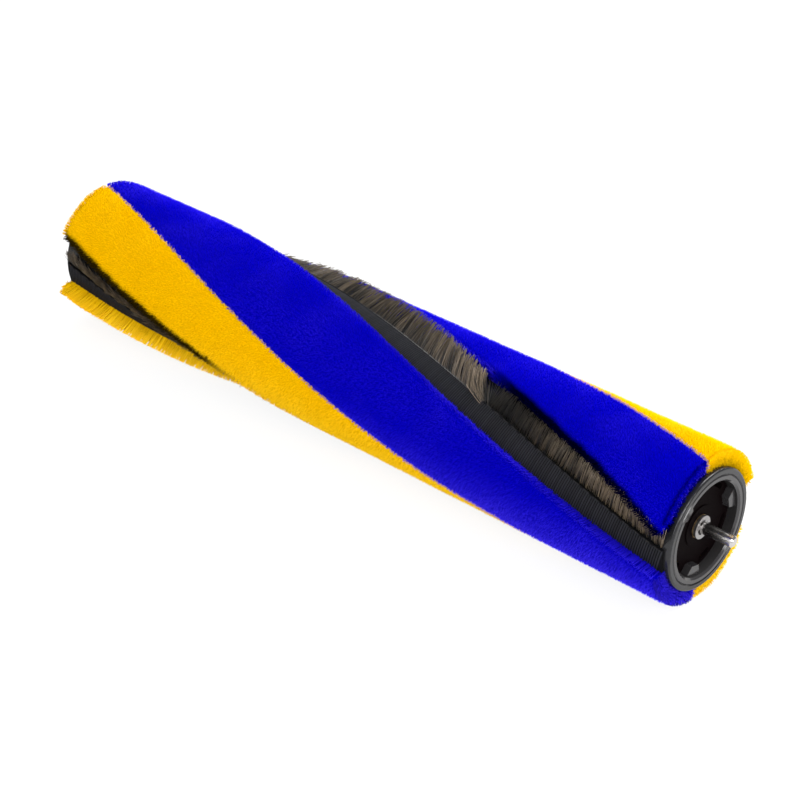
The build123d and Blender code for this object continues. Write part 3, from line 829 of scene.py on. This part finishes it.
def edge_spread(flare):
    """Degrees by which an open pile edge moves out towards the axle end, as a function of x."""
    return lambda x: flare * ramp(x, PILE_END - 0.024, PILE_END) ** 1.6


def edge_shade(first, last):
    """Painted shade on a pile edge over the filaments, as a function of x: full between two places."""
    return lambda x: 0.12 + 0.85 * ramp(x, first, first + 0.012) * (1.0 - ramp(x, last, last + 0.012))


def end_shade(x):
    """Painted shade on the strands at the axle end of the blue pile, which makes them darker than its
    surface.
    """
    return 0.50 if x > 0.0 else 0.0


def rear_yellow_reach(x):
    """The rear yellow pile spreads out at the driven end."""
    return 0.45 * (1.0 - ramp(x, -0.105, -0.045))


def upper_comb(x):
    """Filaments lean back towards the driven end before their parting, and a little forward after it."""
    if x < PARTING:
        return -1.3 * ramp(x, 0.0, PARTING) ** 1.5
    return 0.25 * (1.0 - ramp(x, PARTING + 0.030, PILE_END))


def upper_shade(x):
    """Painted shade and light on the filaments: a little shade at the driven end, a painted highlight just
    before the parting, and painted shadow of those before it past the parting, until near the axle end,
    where they are painted lighter.
    """
    if x < PARTING:
        return 0.25 - 1.0 * ramp(x, PARTING - 0.032, PARTING - 0.006)
    return 0.88 - 1.42 * ramp(x, PARTING + 0.010, PARTING + 0.042)


def upper_reach(x):
    """Filaments reach the pile behind them, but stop short of it after the parting."""
    if x < PARTING:
        return 0.24
    return -0.12 + 0.09 * ramp(x, PARTING + 0.012, PARTING + 0.044)


def upper_drift(x):
    """Degrees by which the filaments fall over their tape, just before the parting."""
    return 4.5 * ramp(x, 0.0, PARTING) if x < PARTING else 0.0


def lower_comb(x):
    """Filaments of the lower strip lean to and fro."""
    return 0.5 * sin(x * 90.0)


def lower_reach(x):
    """Filaments of the lower strip are shorter at the axle end."""
    return -0.45 * ramp(x, 0.075, 0.095)


def selvedge_shade(x):
    """The selvedge catches the light only before the parting."""
    return 0.9 - 1.4 * ramp(x, -0.015, 0.010) * (1.0 - ramp(x, PARTING - 0.012, PARTING))


# Bands around the roller, with edges in degrees at mid length. The open edge faces a strip. Flare is its
# spread in degrees at the axle end, shadow the range of x where it is dark, and reach lengthens its strands.
Band = namedtuple("Band", "node slot start end open_edge flare shadow reach")
BANDS = (
    Band("blue_plush_front", "blue_plush", 16.5, 86.5, "start", 0.0, None, FRONT_BLUE_REACH),
    Band("yellow_plush_front", "yellow_plush", 86.5, 147.0, "end", 9.0, (-0.120, -0.050), None),
    Band("yellow_plush_rear", "yellow_plush", 194.0, 276.5, "start", 0.0, None, rear_yellow_reach),
    Band("blue_plush_rear", "blue_plush", 276.5, 335.0, "end", 7.0, (0.036, 0.108), None),
)
# Strips: the seam between tape and filaments in degrees at mid length, where the stitches start to show,
# and the ways of the filaments
Strip = namedtuple("Strip", "name seam stitched comb reach shade drift")
STRIPS = (
    Strip("upper", 355.5, PARTING, upper_comb, upper_reach, upper_shade, upper_drift),
    Strip("lower", 173.0, PILE_START + STITCH_INSET, lower_comb, lower_reach, None, None),
)


# Pieces

def keep(obj, body, slot, *nodes):
    """Hands a finished piece to its body, in place of CAD nodes if any are named; its slot is not used."""
    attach(obj, body)
    if nodes:
        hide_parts(*nodes)


def band_object(band, drift, dark, settings):
    """Surface of one band of pile, with a rounded shoulder at its open edge and a flare at the axle end."""
    lead = settings.helix_lead
    at_start = band.open_edge == "start"
    low = band.start + (FOOT_INSET if at_start else 0.0)
    high = band.end - (0.0 if at_start else FOOT_INSET)
    xs = stations(BAND_STATIONS)
    xs[1:1] = [xs[0] + END_ROW]
    xs[-1:-1] = [xs[-1] - END_ROW]
    points, shade = [], []
    for x in xs:
        inset = min(x - xs[0], xs[-1] - x)
        rounding = END_DROP * max(0.0, 1.0 - inset / END_DROP_LENGTH) ** 2
        wide = drift(x)
        if dark:
            wide += SCALLOP * noise.noise(Vector((x * SCALLOP_ALONG, band.start, 5.0)))
        for step in range(BAND_STEPS + 1):
            share = step / BAND_STEPS
            if at_start:
                away = (band.end - band.start + wide) * share ** STEP_CROWDING
                angle = band.start - wide + away
            else:
                away = (band.end - band.start + wide) * (1 - share) ** STEP_CROWDING
                angle = band.end + wide - away
            drop = SHOULDER_DROP * max(0.0, 1.0 - away / SHOULDER_WIDTH) ** 2 + rounding
            swell = SWELL * noise.noise(Vector((x * SWELL_ALONG, angle * SWELL_AROUND, 3.0)))
            spot = place(x, settings.surface_radius - drop + swell, angle, lead)
            spot.z = max(spot.z, PILE_FLOOR_CLEAR)
            points.append(spot)
            # Painted shade on the shoulder of an open edge over the filaments
            near = min(1.0, DARK_DEPTH * max(0.0, 1.0 - away / DARK_WIDTH))
            shade.append(dark(x) * near if dark else 0.0)
        for step in range(BAND_STEPS + 1):
            angle = low + (high - low) * step / BAND_STEPS
            points.append(place(x, TUBE_RADIUS + TUBE_CLEAR, angle, lead))
            # Painted shade at the foot of the band, under its pile
            shade.append(dark(x) if dark else FOOT_SHADE)
    faces, kinds = strip_faces(len(xs), BAND_STEPS)
    growth = {"outer": 1.0, "cap": 1.0, band.open_edge: SIDE_TUFTS}
    obj = mesh_object(band.node + "_pile", points, faces)
    add_values(obj, "pile", "FACE", [growth.get(kind, 0.0) for kind in kinds])
    add_values(obj, "shade", "POINT", shade)
    obj.data.shade_smooth()
    return obj


class ROLLER_OT_plush(bpy.types.Operator):
    """Blue and yellow bands of cut pile, with longer strands along their open edges and ends"""

    bl_idname = "roller.plush"
    bl_label = "Plush bands"

    def execute(self, context):
        settings = context.scene.roller
        for number, band in enumerate(BANDS):
            lit = plush_material(band.slot, settings)
            shaded = plush_material(band.slot, settings, shaded=True)
            drift = edge_spread(band.flare)
            # An open edge over the filaments gets painted shade, and its shaded fibres the copy of the
            # material without sheen
            dark = edge_shade(*band.shadow) if band.shadow else None
            looks = {"Material": lit, "Shaded Material": shaded if dark else lit}
            self.pile(band, number, drift, dark, looks, settings)
            self.edge(band, number, drift, dark, looks, settings)
            # The axle-end strands of the blue pile get painted shade
            dark = end_shade if band.slot == "blue_plush" else None
            looks = {"Material": lit, "Shaded Material": shaded if dark else lit}
            self.ends(band, number, dark, looks, settings)
        return {"FINISHED"}

    def pile(self, band, number, drift, dark, looks, settings):
        """Tufted surface of a band, in place of its CAD node."""
        obj = band_object(band, drift, dark, settings)
        obj.data.materials.append(looks["Material"])
        grow(obj, tree_named("Pile Tufts", tuft_tree), TUFTS | looks | {
            "Density": settings.tuft_density, "Length": settings.tuft_length,
            "Radius": settings.tuft_radius, "Seed": TUFT_SEED + number})
        keep(obj, "roller", band.slot, band.node)

    def edge(self, band, number, drift, dark, looks, settings):
        """Row of strands along a band's open edge."""
        at_start = band.open_edge == "start"
        angle = band.start + EDGE_INSET if at_start else band.end - EDGE_INSET
        line = helix_points(TUBE_RADIUS + ROOT_CLEAR, angle, settings.helix_lead,
                            inset=EDGE_END_INSET, drift=drift)
        row = guide_object(band.node + "_edge", line, reach=band.reach, shade=dark)
        grow(row, tree_named("Strand Row", strand_tree), EDGE_STRANDS | looks | {
            "Length": settings.edge_length, "Lean": -EDGE_LEAN if at_start else EDGE_LEAN,
            "Seed": EDGE_SEED + number})
        keep(row, "roller", band.slot)

    def ends(self, band, number, dark, looks, settings):
        """Rows of strands around both ends of a band."""
        count = int(END_STRANDS_PER_DEGREE * (band.end - band.start))
        for side, x, lean in PILE_ENDS:
            line = arc_points(x, TUBE_RADIUS + ROOT_CLEAR, band.start + END_INSET, band.end - END_INSET,
                              settings.helix_lead)
            row = guide_object(f"{band.node}_{side}_end", line, reach=END_REACH, shade=dark)
            grow(row, tree_named("Strand Row", strand_tree), END_STRANDS | looks | {
                "Count": count, "Length": settings.edge_length, "Lean": lean, "Seed": END_SEED + number})
            keep(row, "roller", band.slot)


class ROLLER_OT_strips(bpy.types.Operator):
    """Woven tapes with their stitches, and the rows of filaments sewn along them"""

    bl_idname = "roller.strips"
    bl_label = "Filament strips"

    def execute(self, context):
        settings = context.scene.roller
        base = TUBE_RADIUS + TUBE_CLEAR
        top = base + settings.tape_rise - RIB_RISE
        for number, strip in enumerate(STRIPS):
            self.tape(strip, base, top, settings)
            self.ribs(strip, top, settings)
            self.stitches(strip, top, settings)
            self.selvedge(strip, top, settings)
            self.fringe(strip, number, base, settings)
        return {"FINISHED"}

    def tape(self, strip, base, top, settings):
        """Ground of a tape, in place of its CAD node."""
        points = []
        xs = stations(TAPE_STATIONS)
        for x in xs:
            for radius in (top, base):
                for step in range(TAPE_STEPS + 1):
                    angle = strip.seam + settings.tape_width * step / TAPE_STEPS
                    points.append(place(x, radius, angle, settings.helix_lead))
        faces, _ = strip_faces(len(xs), TAPE_STEPS)
        tape = mesh_object(f"tape_{strip.name}", points, faces)
        tape.data.materials.append(ground_material())
        keep(tape, "roller", "woven_tape", f"filament_tape_{strip.name}")

    def ribs(self, strip, top, settings):
        """Woven ribs across a tape."""
        line = helix_points(top, strip.seam + settings.tape_width / 2, settings.helix_lead, inset=RIB_INSET)
        ribs = guide_object(f"tape_ribs_{strip.name}", line)
        grow(ribs, tree_named("Threads Along Guide", thread_tree), RIBS | {
            "Count": settings.rib_count, "Arch Radius": top,
            "Sweep": radians(settings.tape_width - RIB_MARGIN), "Material": tape_material(settings)})
        keep(ribs, "roller", "woven_tape")

    def stitches(self, strip, top, settings):
        """Stitches that hold the filaments to a tape, where they show."""
        line = helix_points(top + STITCH_RISE, strip.seam + SEWING_OFFSET, settings.helix_lead,
                            inset=STITCH_INSET, start=strip.stitched)
        stitches = guide_object(f"stitches_{strip.name}", line)
        count = int((PILE_END - strip.stitched) / settings.stitch_pitch)
        grow(stitches, tree_named("Threads Along Guide", thread_tree), STITCHES | {
            "Count": count, "Material": ground_material()})
        keep(stitches, "roller", "woven_tape")

    def selvedge(self, strip, top, settings):
        """Threads along the sewn edge of a tape."""
        line = helix_points(top + SELVEDGE_RISE, strip.seam + SEWING_OFFSET, settings.helix_lead,
                            inset=SELVEDGE_INSET)
        # The selvedge gets a painted highlight before the parting and painted shade elsewhere, from its
        # shade values and paler material
        selvedge = guide_object(f"selvedge_{strip.name}", line, shade=selvedge_shade)
        grow(selvedge, tree_named("Threads Along Guide", thread_tree), SELVEDGE | {
            "Material": selvedge_highlight_material()})
        keep(selvedge, "roller", "woven_tape")

    def fringe(self, strip, number, base, settings):
        """Row of filaments beside a tape, in place of its CAD node."""
        look = filament_material(settings)
        line = helix_points(base, strip.seam + FILAMENT_OFFSET, settings.helix_lead, count=FILAMENT_GUIDE,
                            inset=FILAMENT_INSET, drift=strip.drift)
        fringe = guide_object(f"filaments_{strip.name}", line, strip.comb, strip.reach, strip.shade)
        grow(fringe, tree_named("Strand Row", strand_tree), FILAMENTS | {
            "Count": settings.filament_count, "Length": settings.filament_length,
            "Seed": FILAMENT_SEED + number, "Material": look, "Shaded Material": look})
        keep(fringe, "roller", "filament", f"filament_fringe_{strip.name}")


class ROLLER_OT_ends(bpy.types.Operator):
    """Plastic and steel finishes for the tube and its end fittings"""

    bl_idname = "roller.ends"
    bl_label = "End fittings"

    def execute(self, context):
        spring = metal_material("Spring Steel", (0.36, 0.35, 0.35, 1.0), roughness=0.42, marks=0.3)
        slot_looks = {
            "black_plastic": plastic_material(
                "Black Plastic", (0.010, 0.010, 0.011, 1.0), roughness=0.20, marks=0.16, gloss=0.36),
            # Recess plate: near-black and brownish, partly its own colour and partly painted shade of the
            # deep recess
            "dark_plastic": plastic_material(
                "Dark Plastic", (0.0030, 0.0018, 0.0020, 1.0), roughness=0.5, marks=0.12, gloss=0.01),
            "steel": metal_material("Steel", (0.60, 0.58, 0.56, 1.0), roughness=0.20, marks=0.16),
            "bush_bronze": metal_material("Bush Bronze", (0.45, 0.32, 0.16, 1.0), roughness=0.35, marks=0.3),
        }
        own_looks = {
            "outer_clip": spring,
            "inner_clip": spring,
            # The plug's base is lighter than the black plastic's, a painted highlight on its rim and lugs;
            # its second colour is painted shade on the wall below the rim
            "axle_end_plug": plug_material(
                "Plug Plastic", (0.020, 0.019, 0.020, 1.0), (0.0025, 0.0016, 0.0018, 1.0),
                roughness=0.16, dulling=0.5, marks=0.16, gloss=0.5),
        }
        for part in frame["record"]["subparts"]:
            if part["material_slot"] in slot_looks:
                obj = frame["nodes"][part["node"]]
                obj.data.materials.clear()
                obj.data.materials.append(own_looks.get(part["node"], slot_looks[part["material_slot"]]))
        return {"FINISHED"}


class ROLLER_OT_stage(bpy.types.Operator):
    """White floor, soft studio lights and the photo's camera"""

    bl_idname = "roller.stage"
    bl_label = "Studio"

    def execute(self, context):
        self.floor()
        self.room(context.scene)
        for name, spot, size, power in LAMPS:
            self.lamp(name, spot, size, power)
        self.camera(context.scene)
        context.scene.view_settings.view_transform = "Standard"
        return {"FINISHED"}

    def floor(self):
        """White floor that keeps the object's shadow."""
        reach = FLOOR_REACH
        corners = [(-reach, -reach, 0), (reach, -reach, 0), (reach, reach, 0), (-reach, reach, 0)]
        floor = mesh_object("floor", corners, [(0, 1, 2, 3)])
        material, tree, shader = new_material("floor")
        shader.inputs["Roughness"].default_value = 0.9
        shader.inputs["Specular IOR Level"].default_value = 0.0
        glow = add_node(tree, "ShaderNodeEmission", {"Color": (1, 1, 1, 1), "Strength": 1.0})
        ray = add_node(tree, "ShaderNodeLightPath")
        share = add_node(tree, "ShaderNodeMath", {0: ray.outputs["Is Camera Ray"], 1: FLOOR_GLOW},
                         operation="MULTIPLY")
        tint = add_node(tree, "ShaderNodeMix", {
            "Factor": ray.outputs["Is Glossy Ray"], "A": FLOOR_COLOUR, "B": FLOOR_REFLECTED},
            data_type="RGBA")
        tree.links.new(enabled_output(tint), shader.inputs["Base Color"])
        mix = add_node(tree, "ShaderNodeMixShader", {
            0: share.outputs[0], 1: shader.outputs[0], 2: glow.outputs[0]})
        tree.links.new(mix.outputs[0], tree.nodes["Material Output"].inputs["Surface"])
        floor.data.materials.append(material)

    def room(self, scene):
        """White room that looks darker in reflections."""
        world = bpy.data.worlds.new("studio")
        world.use_nodes = True
        tree = world.node_tree
        sky = tree.nodes["Background"]
        sky.inputs["Strength"].default_value = ROOM_STRENGTH
        ray = add_node(tree, "ShaderNodeLightPath")
        tint = add_node(tree, "ShaderNodeMix", {
            "Factor": ray.outputs["Is Glossy Ray"], "A": ROOM_COLOUR, "B": ROOM_REFLECTED}, data_type="RGBA")
        tree.links.new(enabled_output(tint), sky.inputs["Color"])
        scene.world = world

    def lamp(self, name, spot, size, power):
        """Square soft lamp that faces the roller."""
        data = bpy.data.lights.new(name, "AREA")
        data.size = size
        data.energy = power
        lamp = bpy.data.objects.new(name, data)
        lamp.location = spot
        lamp.rotation_euler = (Vector(spot) - LAMP_AIM).to_track_quat("Z", "Y").to_euler()
        bpy.context.scene.collection.objects.link(lamp)

    def camera(self, scene):
        """Camera at the photo's viewing angle."""
        azimuth = radians(CAMERA_AZIMUTH)
        elevation = radians(CAMERA_ELEVATION)
        right = Vector((cos(azimuth), sin(azimuth), 0.0))
        back = Vector((sin(azimuth) * cos(elevation), -cos(azimuth) * cos(elevation), sin(elevation)))
        up = back.cross(right)
        data = bpy.data.cameras.new("photo")
        data.sensor_width = CAMERA_SENSOR
        data.lens = CAMERA_LENS
        data.clip_start = CAMERA_NEAR
        camera = bpy.data.objects.new("photo", data)
        eye = CAMERA_AIM + back * CAMERA_DISTANCE + right * CAMERA_RIGHT - up * CAMERA_DOWN
        camera.matrix_world = Matrix.Translation(eye) @ Matrix((right, up, back)).transposed().to_4x4()
        scene.collection.objects.link(camera)
        scene.camera = camera


class ROLLER_PT_panel(bpy.types.Panel):
    """Sizes, colours and build steps of the roller"""

    bl_idname = "ROLLER_PT_panel"
    bl_label = "Soft Roller Brush"
    bl_space_type = "VIEW_3D"
    bl_region_type = "UI"
    bl_category = "Roller"

    def draw(self, context):
        settings = context.scene.roller
        for name in RollerSettings.__annotations__:
            self.layout.prop(settings, name)
        for operator in OPERATORS:
            self.layout.operator(operator.bl_idname)


OPERATORS = (ROLLER_OT_plush, ROLLER_OT_strips, ROLLER_OT_ends, ROLLER_OT_stage)
CLASSES = (RollerSettings, *OPERATORS, ROLLER_PT_panel)


def register():
    for cls in CLASSES:
        bpy.utils.register_class(cls)
    bpy.types.Scene.roller = bpy.props.PointerProperty(type=RollerSettings)


def unregister():
    del bpy.types.Scene.roller
    for cls in reversed(CLASSES):
        bpy.utils.unregister_class(cls)


def main():
    register()
    bpy.ops.roller.plush()
    bpy.ops.roller.strips()
    bpy.ops.roller.ends()
    bpy.ops.roller.stage()


if __name__ == "__main__":
    main()
